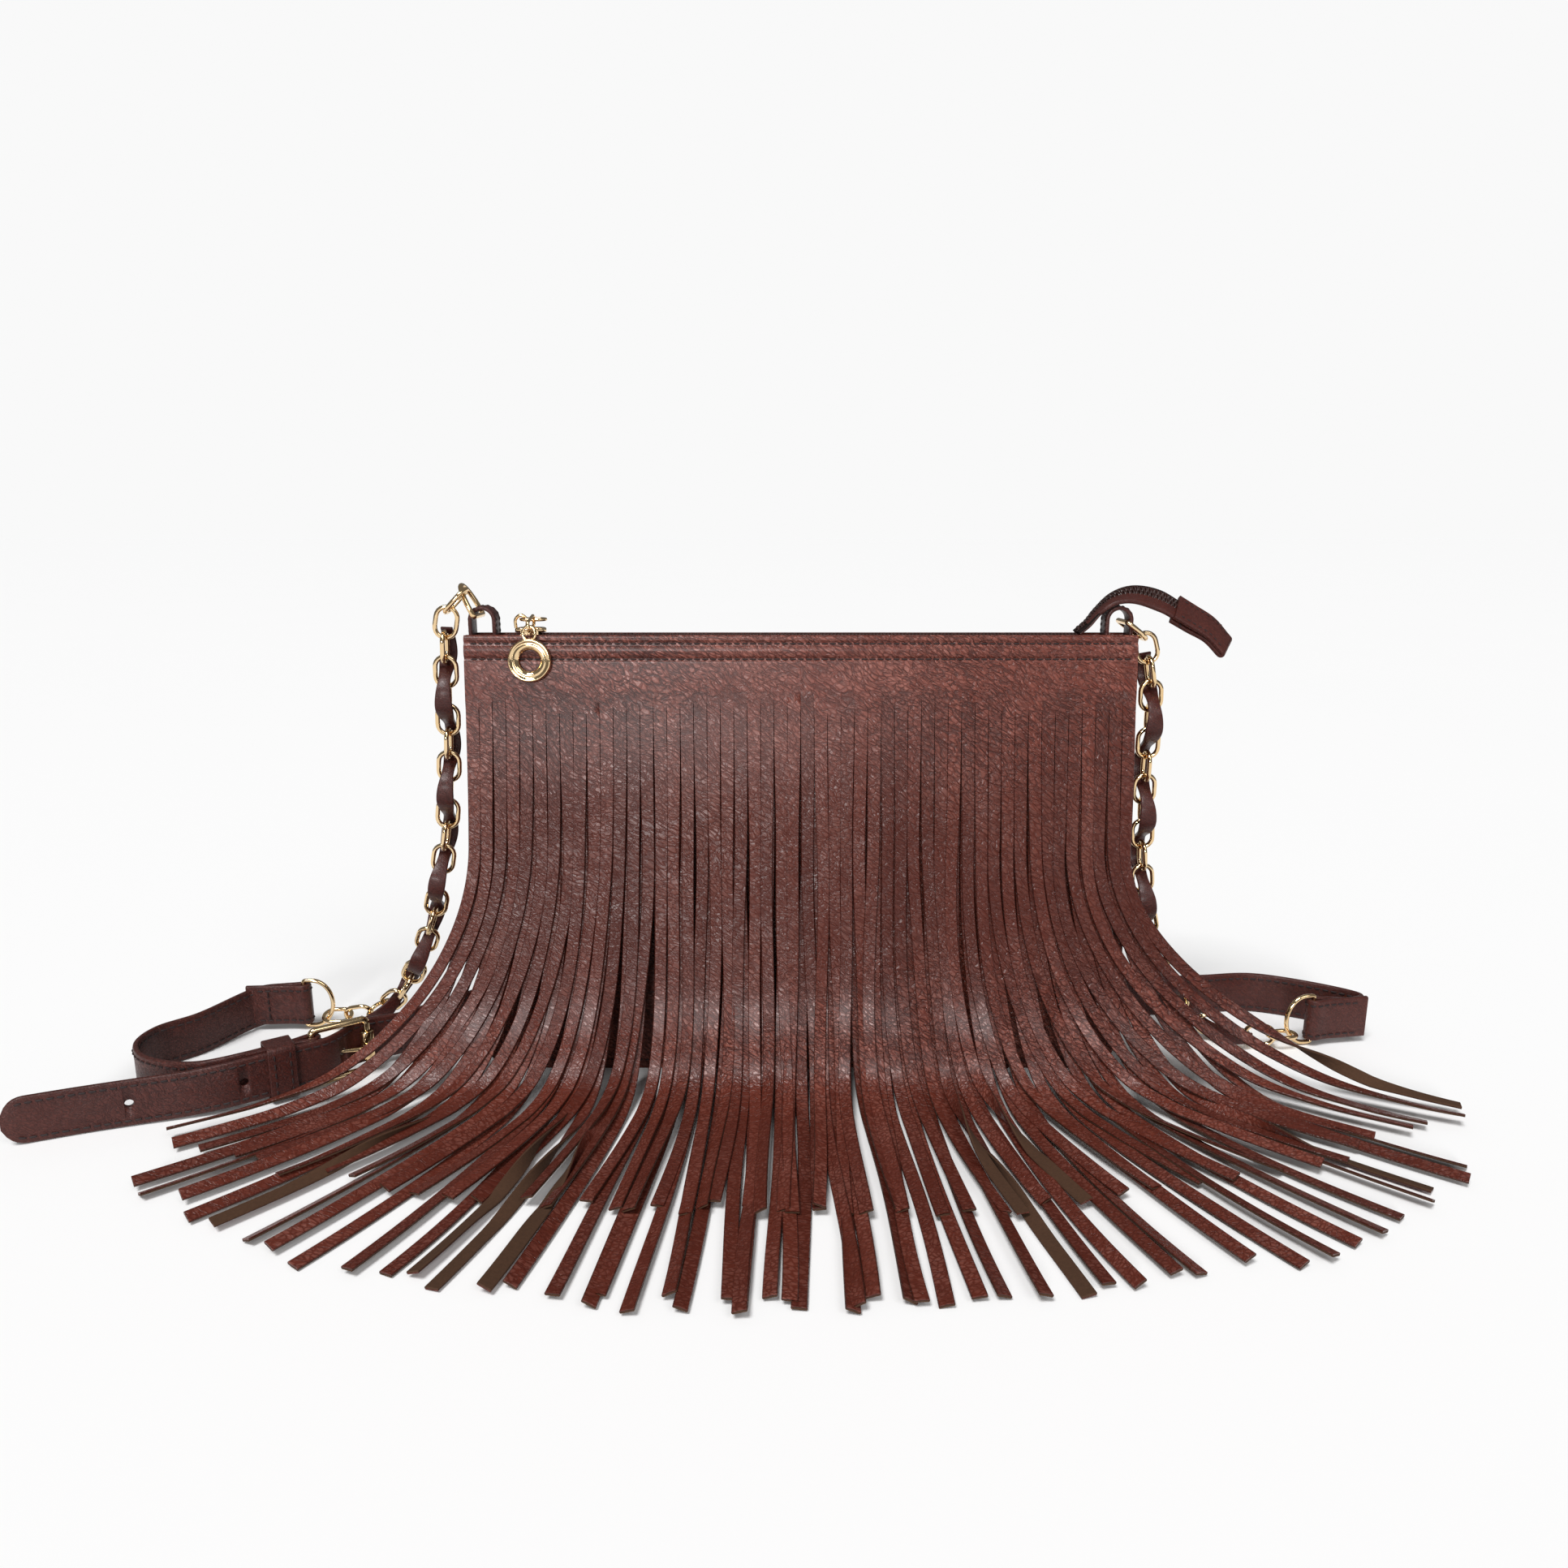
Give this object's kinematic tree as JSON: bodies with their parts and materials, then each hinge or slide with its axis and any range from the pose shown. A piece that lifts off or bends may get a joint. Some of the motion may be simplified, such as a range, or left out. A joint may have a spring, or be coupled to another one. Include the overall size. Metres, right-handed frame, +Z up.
{
  "type": "fringed bag with chain and buckle strap",
  "caption": "Flat zip-top shoulder bag in pebbled leather with long layered cut fringe, and a strap of lace-woven oval chain and buckled leather lying round it.",
  "frame": {"origin": "middle of the bag's base, on the floor", "axes": "+Z up, -Y towards the fringed front, +X towards the end where the zip tail hangs over"},
  "size_m": [0.585, 0.2301, 0.2112],
  "materials": {
    "leather": "pebbled, satin",
    "fringe_leather": "pebbled face with a matt suede-like reverse",
    "lining_cloth": "matt",
    "zip_tape": "matt",
    "gold_metal": "polished"
  },
  "bodies": {
    "bag": {"front_panel": "leather", "back_panel": "leather", "gusset_and_base": "leather", "lining": "lining_cloth", "fringe_lower": "fringe_leather", "fringe_upper": "fringe_leather", "zip_half_front": "zip_tape", "zip_half_back": "zip_tape", "zip_tail": "zip_tape", "zip_tail_tab": "leather", "ring_tab_left": "leather", "ring_tab_right": "leather", "bag_ring_left": "gold_metal", "bag_ring_right": "gold_metal", "chain_left_01": "gold_metal", "chain_left_02": "gold_metal", "chain_left_03": "gold_metal", "chain_left_04": "gold_metal", "chain_left_05": "gold_metal", "chain_left_06": "gold_metal", "chain_left_07": "gold_metal", "chain_left_08": "gold_metal", "chain_left_09": "gold_metal", "chain_left_10": "gold_metal", "chain_left_11": "gold_metal", "chain_left_12": "gold_metal", "chain_left_13": "gold_metal", "chain_left_14": "gold_metal", "chain_left_15": "gold_metal", "chain_end_link_left": "gold_metal", "chain_lace_left": "leather", "chain_right_01": "gold_metal", "chain_right_02": "gold_metal", "chain_right_03": "gold_metal", "chain_right_04": "gold_metal", "chain_right_05": "gold_metal", "chain_right_06": "gold_metal", "chain_right_07": "gold_metal", "chain_right_08": "gold_metal", "chain_right_09": "gold_metal", "chain_right_10": "gold_metal", "chain_right_11": "gold_metal", "chain_right_12": "gold_metal", "chain_right_13": "gold_metal", "chain_right_14": "gold_metal", "chain_right_15": "gold_metal", "chain_end_link_right": "gold_metal", "chain_lace_right": "leather", "strap_ring_left": "gold_metal", "strap_ring_right": "gold_metal", "strap_short": "leather", "strap_long": "leather", "buckle_frame": "gold_metal", "keeper_loop": "leather"},
    "zip_slider": {"zip_slider": "gold_metal"},
    "puller_link": {"puller_link": "gold_metal"},
    "puller_jump_link": {"puller_jump_link": "gold_metal"},
    "puller_ring": {"puller_ring": "gold_metal"},
    "roller": {"buckle_roller": "gold_metal"},
    "prong": {"buckle_prong": "gold_metal"}
  },
  "joints": [
    {"name": "zip_slide", "type": "slide", "parent": "bag", "child": "zip_slider", "axis": [1, 0, 0], "range_m": [0, 0.222]},
    {"name": "puller_link_lift", "type": "hinge", "parent": "zip_slider", "child": "puller_link", "pos_m": [-0.1179, 0, 0.1961], "axis": [0, -1, 0], "range_deg": [0, 25]},
    {"name": "puller_jump_link_lift", "type": "hinge", "parent": "puller_link", "child": "puller_jump_link", "pos_m": [-0.11225, -0.0011, 0.1961], "axis": [-1, 0, 0], "range_deg": [0, 20]},
    {"name": "puller_ring_swing", "type": "hinge", "parent": "puller_jump_link", "child": "puller_ring", "pos_m": [-0.11225, -0.0116, 0.19406], "axis": [-1, 0, 0], "range_deg": [0, 75]},
    {"name": "buckle_roller_turn", "type": "hinge", "parent": "bag", "child": "roller", "pos_m": [-0.18941, -0.02146, 0.01325], "axis": [0, 0, 1], "continuous": true},
    {"name": "buckle_prong_play", "type": "hinge", "parent": "bag", "child": "prong", "pos_m": [-0.208, -0.035, 0.01325], "axis": [0, 0, 1], "range_deg": [-2, 1]}
  ]
}
